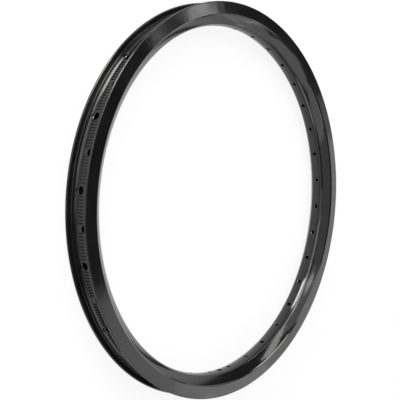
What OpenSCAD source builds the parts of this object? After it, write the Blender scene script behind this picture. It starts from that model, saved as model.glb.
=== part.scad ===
// Double-wall bicycle rim for a 20 inch wheel, lying flat with its axis along Z.
// The origin is the wheel's centre, and the valve hole lies on the +X axis.

/* [Ring] */
// Diameter of the seats that carry the tyre's beads
bead_seat_d = 406; // [400:1:410]
// Height of each flange above its bead seat
flange_h = 6.5; // [6:0.1:7]
// Depth of the rim, from the flange tips to the middle of the spoke bed
rim_depth = 24.8; // [24:0.1:27]

/* [Width] */
// Width over the flange tips
tip_w = 27.4; // [27:0.1:28.5]
// Width over the lips, where the side walls end
lip_w = 29.8; // [29:0.1:31]
// Width between the flange tips
channel_w = 22.6; // [22:0.1:22.8]
// Width of the spoke bed between its two edges
bed_w = 14.4; // [13:0.1:16]

/* [Side] */
// Height of each side wall, from flange tip to lip
side_h = 13.1; // [12.5:0.1:13.5]
// Length of the bevel that undercuts each lip
lip_bevel = 1.2; // [0.8:0.1:1.4]
// Thickness of each side wall beside the cavity
side_t = 1.1; // [1:0.1:1.6]
// Rise of the bed's crown above its edges
bed_crown = 1.9; // [1:0.1:2.2]

/* [Channel] */
// Depth the bead hooks overhang the flange walls
hook = 0.8; // [0.4:0.1:1]
// Height of the bead hooks
hook_h = 2.6; // [2.2:0.1:2.8]
// Width of each bead seat
seat_w = 3.6; // [3:0.1:4]
// Height of the hump beside each bead seat
hump_h = 0.5; // [0.2:0.1:0.8]
// Distance of the hump's crest from the bead seat's edge
hump_run = 0.6; // [0.5:0.1:1]
// Depth of the channel floor below the bead seats
floor_drop = 1.4; // [1:0.1:2]
// Width of the channel floor
floor_w = 12.8; // [12:0.1:13]

/* [Walls] */
// Thickness of the wall under the channel
floor_t = 1.5; // [1.4:0.1:2]
// Thickness of the wall that takes the spoke nipples
bed_t = 2.4; // [2:0.1:2.8]
// Thickness of the sloping walls
slope_t = 1.7; // [1.5:0.1:2]

/* [Roundings] */
// Rounding of the flange tips
tip_rounding = 1.1; // [0.8:0.05:1.1]
// Rounding of the lips
lip_rounding = 0.4; // [0.2:0.05:0.5]
// Rounding of the spoke bed's edges
bed_rounding = 0.5; // [0.3:0.1:2]
// Rounding of the bead hooks' edges
hook_rounding = 0.4; // [0.3:0.05:0.5]
// Rounding between bead seats and flanges, and of the cavity's corners
wall_rounding = 0.8; // [0.5:0.1:1]
// Rounding at the foot of the channel's slopes
floor_rounding = 0.6; // [0.3:0.1:1]
// Rounding of the fine edges at the necks and humps
edge_rounding = 0.3; // [0.2:0.05:0.4]

/* [Holes] */
// Number of spoke holes
spokes = 36; // [28, 32, 36]
// Diameter of the nipple holes in the spoke bed
nipple_d = 4.4; // [4.2:0.1:4.8]
// Diameter of the access holes in the channel floor
access_d = 7.8; // [7:0.1:8.5]
// Distance of the access holes from the channel's middle, side by turns
access_offset = 2.95; // [1:0.05:3]
// Diameter of the valve hole
valve_d = 6.5; // [6.2:0.1:7]

/* [Hidden] */
$fn = 180;
ARC_STEPS = 4;
CROWN_STEPS = 6;
// Overshoot of each drill past the walls it cuts
CUT = 1;
// How far round the cavity's crown runs beside the bed's own
CAVITY_SPREAD = 1.05;
// Where the bed's crown gives way to its rounded edge
CROWN_END = 0.95;

seat_r = bead_seat_d / 2;
tip_r = seat_r + flange_h;
bed_r = tip_r - rim_depth;
bed_edge_r = bed_r + bed_crown;
floor_r = seat_r - floor_drop;
lip_r = tip_r - side_h;
neck_r = lip_r - lip_bevel;
hook_r = tip_r - hook_h;
lip_z = lip_w / 2;
neck_z = lip_z - lip_bevel;
tip_z = tip_w / 2;
inner_z = channel_w / 2;
wall_z = inner_z + hook;
seat_in_z = wall_z - seat_w;
hump_z = seat_in_z - hump_run;
floor_z = floor_w / 2;

// The crown's arc passes through the bed's middle and both its edges
crown_r = (pow(bed_w / 2, 2) + pow(bed_crown, 2)) / (2 * bed_crown);
crown_c = bed_r + crown_r;
crown_a = asin(bed_w / 2 / crown_r);
cavity_a = CAVITY_SPREAD * crown_a;
crown_end = CROWN_END * crown_a;

// The cavity's corners, kept one wall's thickness inside the outline
slope = [neck_r - bed_edge_r, neck_z - bed_w / 2];
cavity_neck = [neck_r, neck_z] + slope_t * [slope[1], -slope[0]] / norm(slope);
cavity_side_z = tip_z - side_t;
cavity_top_r = floor_r - floor_t;
cavity_seat_r = seat_r - slope_t;
cavity_drop_z = (seat_in_z + hump_z) / 2;

nipple_pitch = 360 / spokes;
drill_tilt = atan(access_offset / (floor_r - bed_r));
drill_step = (cavity_top_r + bed_r + bed_t) / 2 - bed_r;
drill_len = rim_depth + 2 * CUT;

// Points of the arc that rounds corner b between a and c with radius r
function unit(v) = v / norm(v);
function fillet(a, b, c, r) =
    let (u = unit(a - b), v = unit(c - b))
    let (half = acos(u * v) / 2, mid = b + unit(u + v) * r / sin(half))
    let (from = b + u * r / tan(half) - mid, to = b + v * r / tan(half) - mid)
    let (a0 = atan2(from[1], from[0]), turn = atan2(to[1], to[0]) - a0)
    let (sweep = turn > 180 ? turn - 360 : turn < -180 ? turn + 360 : turn)
    [for (i = [0 : ARC_STEPS]) mid + r * [cos(a0 + sweep * i / ARC_STEPS), sin(a0 + sweep * i / ARC_STEPS)]];

// Outline through corners given as [radius, height, rounding], its two ends unrounded
function rounded(corners) =
    let (p = [for (c = corners) [c[0], c[1]]])
    [for (i = [0 : len(p) - 1])
        each corners[i][2] > 0 ? fillet(p[i - 1], p[i], p[i + 1], corners[i][2]) : [p[i]]];

// A half outline and its mirror image, as one closed outline
function both_sides(half) = concat(half, [for (i = [len(half) - 1 : -1 : 0]) [half[i][0], -half[i][1]]]);

// Point at distance r from the crown's centre, turned by angle a from its middle
function crown_point(r, a) = [crown_c - r * cos(a), r * sin(a)];

// Points along half the crown at distance r, from its middle up to angle limit
function crown(r, limit) = [for (i = [0.5 : CROWN_STEPS - 0.5]) crown_point(r, limit * i / CROWN_STEPS)];

function outer_half() = concat(crown(crown_r, crown_a), rounded([
    concat(crown_point(crown_r, crown_end), 0),
    [bed_edge_r, bed_w / 2, bed_rounding],
    [neck_r, neck_z, edge_rounding],
    [lip_r, lip_z, lip_rounding],
    [tip_r, tip_z, tip_rounding],
    [tip_r, inner_z, tip_rounding],
    [hook_r, inner_z, hook_rounding],
    [hook_r - hook, wall_z, hook_rounding],
    [seat_r, wall_z, wall_rounding],
    [seat_r, seat_in_z, edge_rounding],
    [seat_r + hump_h, hump_z, edge_rounding],
    [floor_r, floor_z, floor_rounding],
    [floor_r, floor_z / 2, 0]]));

function cavity_half() = concat(crown(crown_r - bed_t, cavity_a), rounded([
    concat(crown_point(crown_r - bed_t, cavity_a), 0),
    concat(cavity_neck, wall_rounding),
    [cavity_seat_r, cavity_side_z, wall_rounding],
    [cavity_seat_r, cavity_drop_z, wall_rounding],
    [cavity_top_r, floor_z, wall_rounding],
    [cavity_top_r, floor_z / 2, 0]]));

// The extrusion's cross section, with the hollow between its two walls
module section() {
    difference() {
        polygon(both_sides(outer_half()));
        polygon(both_sides(cavity_half()));
    }
}

// Stepped drilling for one nipple, leaning so that its spoke meets one side of the hub
module nipple_drilling(lean) {
    translate([bed_r, 0, 0]) rotate([0, 90 + lean, 0]) {
        translate([0, 0, -CUT]) cylinder(d = nipple_d, h = drill_step + CUT);
        translate([0, 0, drill_step - CUT]) cylinder(d = access_d, h = drill_len);
    }
}

module valve_drilling() {
    translate([bed_r - CUT, 0, 0]) rotate([0, 90, 0]) cylinder(d = valve_d, h = drill_len);
}

// The rolled and welded ring, drilled for its nipples and its valve
module rim() {
    color("#2b2b2e") difference() {
        rotate_extrude() section();
        for (i = [0 : spokes - 1])
            rotate([0, 0, (i + 0.5) * nipple_pitch])
                nipple_drilling(i % 2 == 0 ? drill_tilt : -drill_tilt);
        valve_drilling();
    }
}

rim();
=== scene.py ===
import math

import bmesh
import bpy
from bpy.props import FloatProperty, FloatVectorProperty, IntProperty, PointerProperty
from mathutils import Euler, Matrix, Vector


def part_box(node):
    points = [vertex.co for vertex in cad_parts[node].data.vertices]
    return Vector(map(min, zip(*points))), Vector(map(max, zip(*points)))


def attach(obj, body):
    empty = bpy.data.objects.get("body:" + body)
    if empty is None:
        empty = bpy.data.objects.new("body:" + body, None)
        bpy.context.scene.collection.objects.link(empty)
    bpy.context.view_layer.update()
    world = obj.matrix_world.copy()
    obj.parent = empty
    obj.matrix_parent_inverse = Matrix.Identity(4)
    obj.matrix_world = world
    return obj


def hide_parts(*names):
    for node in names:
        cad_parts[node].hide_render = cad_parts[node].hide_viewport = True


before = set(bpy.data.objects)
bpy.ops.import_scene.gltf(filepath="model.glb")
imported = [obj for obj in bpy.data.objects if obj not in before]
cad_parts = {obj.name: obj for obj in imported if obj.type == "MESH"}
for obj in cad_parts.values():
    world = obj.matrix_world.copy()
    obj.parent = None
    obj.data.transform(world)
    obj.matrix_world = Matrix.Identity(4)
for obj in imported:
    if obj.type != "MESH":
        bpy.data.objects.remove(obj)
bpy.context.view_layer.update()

bl_info = {
    "name": "Bicycle Rim",
    "version": (1, 0, 0),
    "blender": (4, 5, 0),
    "location": "3D View > Sidebar > Rim",
    "description": "Builds a double-wall bicycle rim in gloss black anodised aluminium, with its studio",
    "category": "Add Mesh",
}

FULL_TURN = 2 * math.pi
MM = 0.001
# Vertices closer than this are merged
WELD = 1e-7

# The ring's material slots
POLISHED, DRAWN, CUT_EDGE, DULL, RIBBED = range(5)

# Points of the channel floor's dish, as shares of the floor's half width and of the dish's depth
DISH = ((2 / 3, 0.55), (1 / 3, 0.9), (0, 1))
# Share of the sloping wall that its swell spans
SWELL_SPAN = 0.85
# How far round the cavity's crown runs beside the bed's own
CAVITY_SPREAD = 1.05
# Straight pieces in half the bed's crown
CROWN_PIECES = 8
# Bevel of the cross ribs, as a share of their height
RIB_BEVEL = 0.75
# A cutter's cones are the faces whose normals lean along it between these shares
CONES = (0.2, 0.9)
# How far short of the spoke bed each cutter starts
DRILL_START = 2 * MM
# Sides of a drilled hole
HOLE_SIDES = 48
# Edges that turn further than this stay sharp
SHARP = math.radians(28)

# Noise features to the metre: drawn lines, clouds in the dye, flecks, and the waves left by rolling
LINES, CLOUDS, FLECKS, WAVES = 2600.0, 22.0, 900.0, 70.0
# The same for the cutter's marks and the floor's speckles
CUTTER_MARKS, SPECKLES = 1400.0, 60.0
# Heights of the rolled waves and of the fine grain
WAVE_HEIGHT, GRAIN_HEIGHT = 0.3 * MM, 0.04 * MM

WHITE = (1, 1, 1, 1)
# The dark room above the white backdrop
ROOM = (0.06, 0.06, 0.062, 1)
# Sines of the elevations between which the backdrop gives way to the room
BACKDROP_TOP = (0.26, 0.36)
# How white the floor is where it is seen, its lit colour and the rim's shadow making up the rest
FLOOR_WHITE = 0.88
FLOOR_RADIUS, FLOOR_SIDES = 25.0, 96
# The slightly warm white of the lamps
LAMP_COLOUR = (1.0, 0.992, 0.978)
# Width of the camera's sensor in millimetres, and of the photograph in pixels
SENSOR_WIDTH, FRAME_WIDTH = 36, 400

# Lamps: name, azimuth and elevation of the panel's centre in degrees, distance in metres,
# width, height and roll in degrees, radiance
PANELS = (
    ("overhead", 0, 88, 2.2, 44, 44, 0, 0.7),
    ("far_left", 57, 47.2, 2.3, 17, 18.5, 0, 1.5),
    ("far_low", 58, 31, 2.3, 9, 16, 0, 0.55),
    ("far_wall", 74, 29, 2.4, 36, 22, 0, 1.3),
    ("far_edge", 96, 24, 2.35, 5, 24, 0, 0.5),
    ("top_right", 0, 61, 2.4, 24, 14, 0, 1.6),
    ("middle_right", 28, 44, 2.42, 24, 20, 0, 1.5),
    ("low_right", 44, 24.5, 2.45, 20, 19, 0, 1.3),
    ("near_right", -22, 22.5, 2.4, 34, 35, 0, 1.75),
    ("front", -94, 38, 2.5, 20, 40, 0, 1.2),
    ("front_left", -122, 33, 2.45, 30, 38, 0, 2.8),
    ("tall_window", -154.5, 29, 2.3, 21, 32, 0, 9.0),
    ("high_window", -163, 52.5, 2.3, 32, 13, 0, 3.2),
    ("low_window", -155, 10.5, 2.3, 20, 17, 0, 14.0),
    ("spot", 115.6, 40.2, 2.4, 5, 4, 0, 5.3),
    ("small_spot", 115.2, 48.1, 2.4, 3, 2.5, 0, 1.7),
    ("long_streak", 147, 46.5, 2.35, 22, 7, 3, 5.0),
    ("fine_streak", 176, 55, 2.35, 22, 3.5, 35, 5.0),
    ("end_patch", -180, 66, 2.4, 6, 7, 0, 4.0),
    ("glint", 151, 34, 2.4, 27, 3.5, 37, 9.0),
    ("left_wall", 168, 60, 2.5, 24, 22, 0, 1.3),
)


def length(name, text, mm, least=0.0):
    """A size that is given in millimetres and kept in metres."""
    return FloatProperty(name=name, description=text, default=mm * MM, min=least * MM,
                         precision=5, subtype="DISTANCE", unit="LENGTH")


class RimSizes(bpy.types.PropertyGroup):
    """Sizes of the extruded section and its drilling"""

    seat_r: length("Seat radius", "Radius of the seats that carry the tyre's beads", 203.0, 100)
    flange_h: length("Flange height", "Height of each flange above its bead seat", 6.5)
    depth: length("Depth", "From the flange tips to the middle of the spoke bed", 24.8)
    tip_w: length("Tip width", "Width over the flange tips", 27.4)
    lip_w: length("Lip width", "Width over the lips, where the side walls end", 29.8)
    channel_w: length("Channel width", "Width between the flange tips", 22.6)
    bed_w: length("Bed width", "Width of the spoke bed between its edges", 14.4)
    side_h: length("Side height", "Height of each side wall, from flange tip to lip", 13.1)
    lip_bevel: length("Lip bevel", "Bevel that undercuts each lip", 1.2)
    bed_crown: length("Bed crown", "Rise of the bed's crown above its edges", 1.9)
    slope_swell: length("Swell", "How far the slope between bed and lip swells", 0.19)
    hook: length("Hook", "Depth the bead hooks overhang the flange walls", 0.8)
    hook_h: length("Hook height", "Height of the bead hooks", 2.6)
    seat_w: length("Seat width", "Width of each bead seat", 3.6)
    hump_h: length("Hump height", "Height of the hump beside each bead seat", 0.5)
    hump_run: length("Hump run", "Distance of the hump's crest from its bead seat's edge", 0.6)
    floor_drop: length("Floor drop", "Depth of the channel floor below the bead seats", 1.4)
    floor_w: length("Floor width", "Width of the channel floor", 12.8)
    floor_dish: length("Floor dish", "How far the middle of the channel floor is dished", 0.5)
    side_t: length("Side wall", "Thickness of the side walls beside the cavity", 1.1)
    floor_t: length("Floor wall", "Thickness of the wall under the channel", 1.5)
    bed_t: length("Bed wall", "Thickness of the wall that takes the spoke nipples", 2.4)
    slope_t: length("Sloping wall", "Thickness of the sloping walls", 1.7)
    tip_rounding: length("Tip rounding", "Rounding of the flange tips", 1.1)
    lip_rounding: length("Lip rounding", "Rounding of the lips", 0.4)
    hook_rounding: length("Hook rounding", "Rounding of the bead hooks' edges", 0.4)
    wall_rounding: length("Wall rounding", "Rounding beside the flanges and in the cavity", 0.8)
    edge_rounding: length("Edge rounding", "Rounding of the fine edges at necks and humps", 0.3)
    foot_rounding: length("Foot rounding", "Rounding at the foot of the channel's slopes", 4.2)
    nipple_d: length("Nipple hole", "Diameter of the nipple holes in the spoke bed", 4.4)
    access_d: length("Access hole", "Diameter of the access holes in the channel floor", 7.8)
    access_offset: length("Access offset", "Distance of the access holes from the middle", 2.95)
    valve_d: length("Valve hole", "Diameter of the valve hole", 6.5)
    deburr: length("Deburring", "Width of the bright countersink at each hole's edge", 0.35)
    rib_start: length("Rib start", "Distance of the channel's cross ribs from its middle", 1.0)
    rib_end: length("Rib end", "Distance of the cross ribs' outer ends from the middle", 5.2)
    rib_w: length("Rib width", "Width of each cross rib", 1.5)
    rib_h: length("Rib height", "Height of the cross ribs above the floor's edges", 0.4)
    spokes: IntProperty(name="Spokes", description="Number of spoke holes", default=36, min=12, max=48)
    ribs: IntProperty(name="Ribs", description="Cross ribs round each side of the channel",
                      default=412, min=90, max=720)
    columns: IntProperty(name="Columns", description="Steps in which the ring is spun",
                         default=360, min=90, max=720)


class RimFinish(bpy.types.PropertyGroup):
    """Colours and gloss of the anodised metal"""

    polished: FloatVectorProperty(name="Polished black", description="Colour of the polished outside",
                                  subtype="COLOR", size=3, default=(0.004, 0.004, 0.0045), min=0, max=1)
    drawn: FloatVectorProperty(name="Drawn black", description="Colour of the unpolished channel",
                               subtype="COLOR", size=3, default=(0.006, 0.006, 0.006), min=0, max=1)
    bare: FloatVectorProperty(name="Bare edge", description="Colour of cut edges, where the coat is thin",
                              subtype="COLOR", size=3, default=(0.16, 0.16, 0.165), min=0, max=1)
    gloss: FloatProperty(name="Polished roughness", description="Roughness of the polished outside",
                         default=0.09, min=0, max=1, subtype="FACTOR")
    drawn_gloss: FloatProperty(name="Drawn roughness", description="Roughness of the channel",
                               default=0.14, min=0, max=1, subtype="FACTOR")
    dull_gloss: FloatProperty(name="Cavity roughness", description="Roughness inside the hollow",
                              default=0.5, min=0, max=1, subtype="FACTOR")


class RimStudio(bpy.types.PropertyGroup):
    """The studio's camera"""

    camera_at: FloatVectorProperty(name="Camera place", description="Where the camera stands", size=3,
                                   unit="LENGTH", subtype="XYZ", default=(-0.07098, -0.73131, 0.58895))
    camera_turn: FloatVectorProperty(name="Camera turn", description="How the camera is turned", size=3,
                                     unit="ROTATION", subtype="EULER",
                                     default=[math.radians(a) for a in (-4.0919, -49.6033, 91.5885)])
    lens: FloatProperty(name="Lens", description="Focal length in millimetres", default=78.79, min=10,
                        unit="CAMERA")
    centre_y: FloatProperty(name="Optical centre", default=177.5,
                            description="Row of the photograph that the lens points at")


def meeting_angle(before, at, after):
    """Angle between the two edges that meet at a corner."""
    return (before - at).angle(after - at)


def wire_through(mesh, corners):
    """Lays a wire through corners given as (radius, height, rounding, segments), and rounds them."""
    points = [Vector((c[0], 0, c[1])) for c in corners]
    verts = [mesh.verts.new(p) for p in points]
    for a, b in zip(verts, verts[1:]):
        mesh.edges.new((a, b))
    for i, (_, _, rounding, segments) in enumerate(corners):
        if rounding:
            reach = rounding / math.tan(meeting_angle(points[i - 1], points[i], points[i + 1]) / 2)
            bmesh.ops.bevel(mesh, geom=[verts[i]], offset=reach, offset_type="OFFSET", affect="VERTICES",
                            segments=segments, profile=0.5, material=-1)


def spun_ring(half, crown, steps):
    """Closes a half section over its crown, mirrors it and spins it into a closed ring.
    The crown is given as (centre, radius, half its angle, straight pieces)."""
    mesh = bmesh.new()
    wire_through(mesh, half)
    centre, radius, limit, pieces = crown
    start = mesh.verts.new((centre - radius, 0, 0))
    bmesh.ops.spin(mesh, geom=[start], cent=(centre, 0, 0), axis=(0, 1, 0), angle=limit, steps=pieces)
    bmesh.ops.remove_doubles(mesh, verts=mesh.verts, dist=WELD)
    bmesh.ops.mirror(mesh, geom=mesh.verts[:] + mesh.edges[:], axis="Z", merge_dist=WELD)
    bmesh.ops.spin(mesh, geom=mesh.verts[:] + mesh.edges[:], cent=(0, 0, 0), axis=(0, 0, 1),
                   angle=FULL_TURN, steps=steps, use_merge=True)
    bmesh.ops.remove_doubles(mesh, verts=mesh.verts, dist=WELD)
    bmesh.ops.recalc_face_normals(mesh, faces=mesh.faces)
    return mesh


class Section:
    """The section's corner radii and heights, worked out from the sizes"""

    def __init__(self, s):
        self.sizes = s
        self.tip_r = s.seat_r + s.flange_h
        self.bed_r = self.tip_r - s.depth
        self.edge_r = self.bed_r + s.bed_crown
        self.floor_r = s.seat_r - s.floor_drop
        self.lip_r = self.tip_r - s.side_h
        self.neck_r = self.lip_r - s.lip_bevel
        self.hook_r = self.tip_r - s.hook_h
        self.neck_z = s.lip_w / 2 - s.lip_bevel
        self.inner_z = s.channel_w / 2
        self.wall_z = self.inner_z + s.hook
        self.seat_z = self.wall_z - s.seat_w
        self.hump_z = self.seat_z - s.hump_run
        self.crown_r = ((s.bed_w / 2) ** 2 + s.bed_crown ** 2) / (2 * s.bed_crown)
        self.crown_c = self.bed_r + self.crown_r
        self.crown_a = math.asin(s.bed_w / 2 / self.crown_r)
        self.cavity_r = self.crown_r - s.bed_t
        self.cavity_a = CAVITY_SPREAD * self.crown_a
        self.top_r = self.floor_r - s.floor_t
        # The slope's swell is an arc whose tangents meet twice its own height above the slope's middle
        self.slope = Vector((self.neck_r - self.edge_r, self.neck_z - s.bed_w / 2))
        middle = Vector((self.edge_r + self.neck_r, self.neck_z + s.bed_w / 2)) / 2
        self.swell_corner = middle + Vector((-self.slope.y, self.slope.x)).normalized() * 2 * s.slope_swell
        self.swell_rounding = SWELL_SPAN * (self.slope.length / 2) ** 2 / (2 * s.slope_swell)
        self.drill_tilt = math.atan(s.access_offset / (self.floor_r - self.bed_r))
        self.drill_step = (self.top_r + self.bed_r + s.bed_t) / 2 - self.bed_r

    def outside(self):
        """Half the outline, from the bed's edge round the flange to the channel's middle."""
        s = self.sizes
        flank = [
            (self.edge_r, s.bed_w / 2, 0, 0),
            (*self.swell_corner, self.swell_rounding, 8),
            (self.neck_r, self.neck_z, s.edge_rounding, 2),
            (self.lip_r, s.lip_w / 2, s.lip_rounding, 4),
            (self.tip_r, s.tip_w / 2, s.tip_rounding, 6),
            (self.tip_r, self.inner_z, s.tip_rounding, 6),
            (self.hook_r, self.inner_z, s.hook_rounding, 2),
            (self.hook_r - s.hook, self.wall_z, s.hook_rounding, 2),
            (s.seat_r, self.wall_z, s.wall_rounding, 4),
            (s.seat_r, self.seat_z, s.edge_rounding, 2),
            (s.seat_r + s.hump_h, self.hump_z, s.edge_rounding, 3),
            (self.floor_r, s.floor_w / 2, s.foot_rounding, 8),
        ]
        dish = [(self.floor_r - s.floor_dish * deep, s.floor_w / 2 * out, 0, 0) for out, deep in DISH]
        return flank + dish

    def hollow(self):
        """Half the outline of the cavity, from the bed's inner corner to its middle."""
        s = self.sizes
        way = self.slope.normalized()
        crown_end = self.crown_c - self.cavity_r * math.cos(self.cavity_a)
        return [
            (crown_end, self.cavity_r * math.sin(self.cavity_a), 0, 0),
            (self.neck_r + s.slope_t * way.y, self.neck_z - s.slope_t * way.x, s.wall_rounding, 2),
            (s.seat_r - s.slope_t, s.tip_w / 2 - s.side_t, s.wall_rounding, 2),
            (s.seat_r - s.slope_t, (self.seat_z + self.hump_z) / 2, s.wall_rounding, 2),
            (self.top_r, s.floor_w / 2, s.wall_rounding, 2),
            (self.top_r, 0, 0, 0),
        ]


def hollow_ring(section):
    """The undrilled ring with its closed cavity, whose hidden walls have half the faces."""
    columns = section.sizes.columns
    outer_crown = (section.crown_c, section.crown_r, section.crown_a, CROWN_PIECES)
    inner_crown = (section.crown_c, section.cavity_r, section.cavity_a, CROWN_PIECES // 2)
    mesh = spun_ring(section.outside(), outer_crown, columns)
    hollow = spun_ring(section.hollow(), inner_crown, columns // 2)
    bmesh.ops.reverse_faces(hollow, faces=hollow.faces)
    for face in hollow.faces:
        face.material_index = DULL
    add_to(mesh, hollow)
    return mesh


def side_of(i):
    """The side of the channel that nipple i's access hole lies on."""
    return 1 if i % 2 else -1


def nipple_turn(i, sizes):
    """Angle round the ring of nipple i, with the valve hole halfway between two of them."""
    return (i + 0.5) * FULL_TURN / sizes.spokes


def cross_ribs(section):
    """Short ribs across both sides of the channel floor, clear of the holes."""
    s = section.sizes
    mesh = bmesh.new()
    bmesh.ops.create_cube(mesh, size=1)
    bmesh.ops.scale(mesh, vec=(2 * s.rib_h, s.rib_w, s.rib_end - s.rib_start), verts=mesh.verts)
    bmesh.ops.translate(mesh, vec=(section.floor_r, 0, (s.rib_start + s.rib_end) / 2), verts=mesh.verts)
    top = [e for e in mesh.edges if all(v.co.x > section.floor_r for v in e.verts)]
    bmesh.ops.bevel(mesh, geom=top, offset=RIB_BEVEL * s.rib_h, offset_type="OFFSET", affect="EDGES",
                    segments=1, profile=0.5, material=-1)
    bmesh.ops.mirror(mesh, geom=mesh.verts[:] + mesh.edges[:] + mesh.faces[:], axis="Z", merge_dist=0)
    bmesh.ops.spin(mesh, geom=mesh.verts[:] + mesh.edges[:] + mesh.faces[:], cent=(0, 0, 0), axis=(0, 0, 1),
                   angle=FULL_TURN * (s.ribs - 1) / s.ribs, steps=s.ribs - 1, use_duplicate=True)
    clear_holes(mesh, section)
    bmesh.ops.recalc_face_normals(mesh, faces=mesh.faces)
    for face in mesh.faces:
        face.material_index = RIBBED
    return mesh


def rib_of(vert, ribs):
    """The rib that a vertex belongs to: its number round the ring and its side of the channel."""
    return round(math.atan2(vert.co.y, vert.co.x) * ribs / FULL_TURN) % ribs, vert.co.z > 0


def clear_holes(mesh, section):
    """Takes away each rib that a drilled hole reaches."""
    s = section.sizes
    gap = 2 * s.deburr
    holes = [(Vector((section.floor_r, 0, 0)), s.valve_d / 2 + gap)]
    for i in range(s.spokes):
        turn = Matrix.Rotation(nipple_turn(i, s), 3, "Z")
        at = turn @ Vector((section.floor_r, 0, side_of(i) * s.access_offset))
        holes.append((at, s.access_d / 2 + gap))
    met = {rib_of(v, s.ribs) for v in mesh.verts if any((v.co - at).length < reach for at, reach in holes)}
    bmesh.ops.delete(mesh, geom=[v for v in mesh.verts if rib_of(v, s.ribs) in met], context="VERTS")


def stepped_drill(mesh, start_r, radii, angle, lean):
    """Adds one closed cutter: a pin of (distance, radius) rings along a spoke's line."""
    pin = bmesh.new()
    line = [pin.verts.new((r, 0, d)) for d, r in radii]
    for a, b in zip(line, line[1:]):
        pin.edges.new((a, b))
    bmesh.ops.spin(pin, geom=pin.verts[:] + pin.edges[:], cent=(0, 0, 0), axis=(0, 0, 1),
                   angle=FULL_TURN, steps=HOLE_SIDES, use_merge=True)
    bmesh.ops.remove_doubles(pin, verts=pin.verts, dist=WELD)
    bmesh.ops.recalc_face_normals(pin, faces=pin.faces)
    # The cones leave the countersinks' pale edges
    for face in pin.faces:
        face.material_index = CUT_EDGE if CONES[0] < abs(face.normal.z) < CONES[1] else POLISHED
    place = Matrix.Rotation(angle, 4, "Z") @ Matrix.Translation((start_r, 0, 0))
    bmesh.ops.transform(pin, matrix=place @ Matrix.Rotation(math.pi / 2 + lean, 4, "Y"), verts=pin.verts)
    add_to(mesh, pin)


def bed_mouth(radius, deburr):
    """The rings of a cutter that enters the spoke bed, with its countersink."""
    return [(-DRILL_START, 0), (-DRILL_START, radius + deburr), (0, radius + deburr), (deburr, radius)]


def channel_mouth(radius, floor, deburr, end):
    """The rings of a cutter that leaves through the channel floor, with its countersink."""
    return [(floor - deburr, radius), (floor, radius + deburr), (end, radius + deburr), (end, 0)]


def drills(section):
    """One stepped cutter for each nipple, leaning to either side by turns, and one for the valve."""
    s = section.sizes
    mesh = bmesh.new()
    nipple, access, valve = s.nipple_d / 2, s.access_d / 2, s.valve_d / 2
    floor = (section.floor_r - section.bed_r) / math.cos(section.drill_tilt)
    step = [(section.drill_step, nipple), (section.drill_step, access)]
    radii = bed_mouth(nipple, s.deburr) + step + channel_mouth(access, floor, s.deburr, s.depth)
    for i in range(s.spokes):
        stepped_drill(mesh, section.bed_r, radii, nipple_turn(i, s), -side_of(i) * section.drill_tilt)
    radii = bed_mouth(valve, s.deburr) + channel_mouth(valve, floor, s.deburr, s.depth)
    stepped_drill(mesh, section.bed_r, radii, 0, 0)
    return mesh


def add_to(mesh, other):
    """Adds the other bmesh to this one and frees it."""
    part = bpy.data.meshes.new("part")
    other.to_mesh(part)
    other.free()
    mesh.from_mesh(part)
    bpy.data.meshes.remove(part)


def object_of(mesh, name):
    """Makes the mesh an object at the origin."""
    data = bpy.data.meshes.new(name)
    mesh.to_mesh(data)
    mesh.free()
    made = bpy.data.objects.new(name, data)
    bpy.context.scene.collection.objects.link(made)
    return made


def drilled(ring, cutter):
    """Cuts the cutter out of the ring and returns the finished mesh in a bmesh."""
    cut = ring.modifiers.new("Drilling", "BOOLEAN")
    cut.operation, cut.solver, cut.object = "DIFFERENCE", "EXACT", cutter
    finished = ring.evaluated_get(bpy.context.evaluated_depsgraph_get())
    mesh = bmesh.new()
    mesh.from_mesh(finished.to_mesh())
    finished.to_mesh_clear()
    for old in (ring, cutter):
        bpy.data.objects.remove(old)
    return mesh


def finish_faces(mesh, section):
    """Gives the channel's drawn surface its own finish, and shades round faces smooth."""
    # The drawn surface runs from the floor's edges to the flange tips, and the dish's middle is polished
    lowest, highest = section.floor_r - 0.3 * MM, section.tip_r - 0.6 * MM
    half_width = section.wall_z + 0.1 * MM
    for face in mesh.faces:
        face.smooth = True
        centre = face.calc_center_median()
        inside = lowest < math.hypot(centre.x, centre.y) < highest and abs(centre.z) < half_width
        if inside and face.material_index == POLISHED:
            face.material_index = DRAWN
    for edge in mesh.edges:
        edge.smooth = edge.calc_face_angle(0) < SHARP


class Wire:
    """An output in a node tree. Arithmetic on it adds the Math nodes that work it out."""

    def __init__(self, board, socket):
        self.board, self.socket = board, socket

    def maths(self, kind, *terms):
        """Adds one Math node for the terms."""
        return self.board.node("ShaderNodeMath", {"operation": kind}, dict(enumerate(terms)))

    def __add__(self, other):
        return self.maths("ADD", self, other)

    def __sub__(self, other):
        return self.maths("SUBTRACT", self, other)

    def __rsub__(self, other):
        return self.maths("SUBTRACT", other, self)

    def __mul__(self, other):
        return self.maths("MULTIPLY", self, other)

    __radd__, __rmul__ = __add__, __mul__

    def root(self):
        """The square root."""
        return self.maths("SQRT", self)

    def rise(self, low, high):
        """0 below low, 1 above high, smooth between."""
        return self.board.node("ShaderNodeMapRange", {"interpolation_type": "SMOOTHSTEP"},
                               {"Value": self, "From Min": low, "From Max": high})


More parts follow.
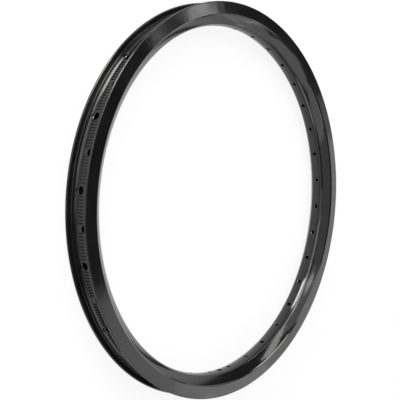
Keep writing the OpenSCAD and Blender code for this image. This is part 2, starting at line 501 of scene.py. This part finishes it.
class Board:
    """The node tree of one material or of the world"""

    def __init__(self, owner):
        owner.use_nodes = True
        self.tree = owner.node_tree
        self.tree.nodes.clear()

    def node(self, kind, settings=None, inputs=None, output=0):
        """Adds one node: its settings first, then the values or wires of its sockets."""
        made = self.tree.nodes.new(kind)
        for name, value in (settings or {}).items():
            setattr(made, name, value)
        for key, value in (inputs or {}).items():
            if isinstance(value, Wire):
                self.tree.links.new(value.socket, made.inputs[key])
            else:
                made.inputs[key].default_value = value
        return Wire(self, made.outputs[output]) if made.outputs else None

    def place(self):
        """The point on the piece, in its own coordinates."""
        return self.node("ShaderNodeTexCoord", output="Object")

    def noise(self, at, scale, detail=2.0):
        """Noise with so many features to the metre."""
        return self.node("ShaderNodeTexNoise", inputs={"Vector": at, "Scale": scale, "Detail": detail})

    def mix(self, factor, a, b):
        """Mixes two colours, on the Mix node's colour sockets."""
        return self.node("ShaderNodeMix", {"data_type": "RGBA"}, {0: factor, 6: a, 7: b}, 2)

    def bump(self, height, strength, distance, normal=None):
        """Raises the surface by the height, on top of another bump."""
        inputs = {"Height": height, "Strength": strength, "Distance": distance}
        return self.node("ShaderNodeBump", inputs=inputs | ({"Normal": normal} if normal else {}))


def shade(colour, share=1.0):
    """The colour made darker or paler, with full alpha."""
    return (*(c * share for c in colour), 1)


def anodised(name, colour, worn, gloss, streaks, shine):
    """Dyed anodised aluminium: a dark coat, clouded and rolled, worn paler in fine lines along the ring."""
    made = bpy.data.materials.new(name)
    board = Board(made)
    place = board.place()
    split = board.node("ShaderNodeSeparateXYZ", inputs={0: place})
    x, y, z = (Wire(board, o) for o in split.socket.node.outputs)
    across = board.node("ShaderNodeCombineXYZ", inputs={0: (x * x + y * y).root(), 1: z})
    lines = board.noise(across, LINES)
    clouds = board.noise(place, CLOUDS, 3.0)
    flecks = board.noise(place, FLECKS, 1.0)
    tone = board.mix(clouds.rise(0.35, 0.7), shade(colour, 0.75), shade(colour, 1.35))
    tone = board.mix(lines.rise(0.62, 0.8) * 0.25, tone, shade(worn))
    rough = gloss + clouds.rise(0.3, 0.75) * 0.05 + (lines - 0.5) * streaks
    rolled = board.bump(board.noise(place, WAVES), 0.25, WAVE_HEIGHT)
    grain = board.bump(lines * 0.6 + flecks * 0.4, 0.05 + streaks * 0.6, GRAIN_HEIGHT, rolled)
    skin = board.node("ShaderNodeBsdfPrincipled", inputs={
        "Base Color": tone, "Roughness": rough, "Normal": grain, "IOR": 1.5, "Specular IOR Level": shine})
    board.node("ShaderNodeOutputMaterial", inputs={"Surface": skin})
    return made


def bright_edge(name, bare):
    """The countersunk edge of a drilled hole, where the cutter left paler metal."""
    made = bpy.data.materials.new(name)
    board = Board(made)
    cuts = board.noise(board.place(), CUTTER_MARKS)
    skin = board.node("ShaderNodeBsdfPrincipled", inputs={
        "Base Color": board.mix(cuts, shade(bare, 0.5), shade(bare)), "Roughness": 0.22 + cuts * 0.2,
        "Metallic": 1.0})
    board.node("ShaderNodeOutputMaterial", inputs={"Surface": skin})
    return made


def ring_materials(finish):
    """The ring's materials, in the order of its slots."""
    polished, drawn, bare = finish.polished, finish.drawn, finish.bare
    return (
        anodised("gloss_black_anodised", polished, bare, finish.gloss, streaks=0.03, shine=0.5),
        anodised("drawn_black_anodised", drawn, bare, finish.drawn_gloss, streaks=0.06, shine=0.38),
        bright_edge("drilled_edge", bare),
        anodised("dull_black_anodised", drawn, drawn, finish.dull_gloss, streaks=0.1, shine=0.12),
        anodised("ribbed_black_anodised", drawn, drawn, finish.drawn_gloss, streaks=0.06, shine=0.32),
    )


class RIM_OT_ring(bpy.types.Operator):
    """Build the drilled ring in the place of its plain solid"""
    bl_idname = "rim.ring"
    bl_label = "Ring"

    def execute(self, context):
        section = Section(context.scene.rim_sizes)
        mesh = drilled(object_of(hollow_ring(section), "ring_blank"), object_of(drills(section), "drills"))
        add_to(mesh, cross_ribs(section))
        finish_faces(mesh, section)
        ring = object_of(mesh, "rim_ring")
        for material in ring_materials(context.scene.rim_finish):
            ring.data.materials.append(material)
        even = ring.modifiers.new("Even shading", "WEIGHTED_NORMAL")
        even.mode, even.weight, even.keep_sharp = "FACE_AREA", 50, True
        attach(ring, "root")
        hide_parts("rim")
        return {"FINISHED"}


def floor_material():
    """A pale floor that looks nearly white to the camera and in reflections, and keeps the shadow."""
    made = bpy.data.materials.new("pale_floor")
    board = Board(made)
    speckle = board.noise(board.place(), SPECKLES) * 0.2
    tone = board.mix(speckle, (0.80, 0.80, 0.80, 1), (0.84, 0.84, 0.84, 1))
    matt = board.node("ShaderNodeBsdfDiffuse", inputs={"Color": tone})
    white = board.node("ShaderNodeEmission", inputs={"Color": WHITE, "Strength": 1.0})
    pale = board.node("ShaderNodeMixShader", inputs={0: FLOOR_WHITE, 1: matt, 2: white})
    rays = board.node("ShaderNodeLightPath").socket.node.outputs
    seen = Wire(board, rays["Is Camera Ray"]) + Wire(board, rays["Is Glossy Ray"])
    seen = seen + Wire(board, rays["Is Transmission Ray"])
    shown = board.node("ShaderNodeMixShader", inputs={0: seen, 1: matt, 2: pale})
    board.node("ShaderNodeOutputMaterial", inputs={"Surface": shown})
    return made


def lay_floor(height):
    """Lays a round floor at the height that the rim rests on."""
    mesh = bmesh.new()
    bmesh.ops.create_circle(mesh, cap_ends=True, segments=FLOOR_SIDES, radius=FLOOR_RADIUS,
                            matrix=Matrix.Translation((0, 0, height)))
    floor = object_of(mesh, "floor")
    floor.data.materials.append(floor_material())


def light_world(scene):
    """A white backdrop low down, and a dark room above it."""
    scene.world = bpy.data.worlds.new("studio")
    board = Board(scene.world)
    way = board.node("ShaderNodeTexCoord", output="Generated")
    up = board.node("ShaderNodeSeparateXYZ", inputs={0: way}, output="Z")
    tone = board.mix(up.rise(*BACKDROP_TOP), WHITE, ROOM)
    glow = board.node("ShaderNodeBackground", inputs={"Color": tone, "Strength": 1.0})
    board.node("ShaderNodeOutputWorld", inputs={"Surface": glow})


def hang_panel(scene, name, azimuth, elevation, distance, width, height, roll, radiance):
    """Hangs a soft panel facing the rim. An area lamp's power is its radiance times its area times pi."""
    lamp = bpy.data.lights.new(name, "AREA")
    lamp.shape = "RECTANGLE"
    lamp.size, lamp.size_y = (2 * distance * math.tan(math.radians(a) / 2) for a in (width, height))
    lamp.energy = radiance * lamp.size * lamp.size_y * math.pi
    lamp.color = LAMP_COLOUR
    hung = bpy.data.objects.new(name, lamp)
    a, e = math.radians(azimuth), math.radians(elevation)
    way = Vector((math.cos(a) * math.cos(e), math.sin(a) * math.cos(e), math.sin(e)))
    hung.location = way * distance
    facing = (-way).to_track_quat("-Z", "Y").to_matrix()
    hung.rotation_euler = (facing @ Matrix.Rotation(math.radians(roll), 3, "Z")).to_euler()
    scene.collection.objects.link(hung)


def place_camera(scene, studio):
    """Puts the camera at the photograph's viewing angle."""
    data = bpy.data.cameras.new("camera")
    data.lens, data.sensor_width = studio.lens, SENSOR_WIDTH
    data.shift_y = (studio.centre_y - FRAME_WIDTH / 2) / FRAME_WIDTH
    camera = bpy.data.objects.new("camera", data)
    camera.location = studio.camera_at
    camera.rotation_euler = Euler(studio.camera_turn, "XYZ")
    scene.collection.objects.link(camera)
    scene.camera = camera


class RIM_OT_studio(bpy.types.Operator):
    """Set the floor, the lamps, the world and the camera"""
    bl_idname = "rim.studio"
    bl_label = "Studio"

    def execute(self, context):
        lay_floor(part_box("rim")[0].z)
        light_world(context.scene)
        for panel in PANELS:
            hang_panel(context.scene, *panel)
        place_camera(context.scene, context.scene.rim_studio)
        return {"FINISHED"}


class RIM_PT_panel(bpy.types.Panel):
    """Lists the rim's sizes, finish and studio"""
    bl_idname = "RIM_PT_panel"
    bl_label = "Bicycle Rim"
    bl_space_type = "VIEW_3D"
    bl_region_type = "UI"
    bl_category = "Rim"

    def draw(self, context):
        for group in (context.scene.rim_sizes, context.scene.rim_finish, context.scene.rim_studio):
            box = self.layout.box()
            for name in group.bl_rna.properties.keys():
                if name not in {"rna_type", "name"}:
                    box.prop(group, name)
        self.layout.operator(RIM_OT_ring.bl_idname)
        self.layout.operator(RIM_OT_studio.bl_idname)


CLASSES = (RimSizes, RimFinish, RimStudio, RIM_OT_ring, RIM_OT_studio, RIM_PT_panel)


def register():
    for made in CLASSES:
        bpy.utils.register_class(made)
    bpy.types.Scene.rim_sizes = PointerProperty(type=RimSizes)
    bpy.types.Scene.rim_finish = PointerProperty(type=RimFinish)
    bpy.types.Scene.rim_studio = PointerProperty(type=RimStudio)


def unregister():
    del bpy.types.Scene.rim_sizes, bpy.types.Scene.rim_finish, bpy.types.Scene.rim_studio
    for made in reversed(CLASSES):
        bpy.utils.unregister_class(made)


def main():
    register()
    bpy.context.scene.view_settings.view_transform = "Standard"
    bpy.ops.rim.ring()
    bpy.ops.rim.studio()


if __name__ == "__main__":
    main()
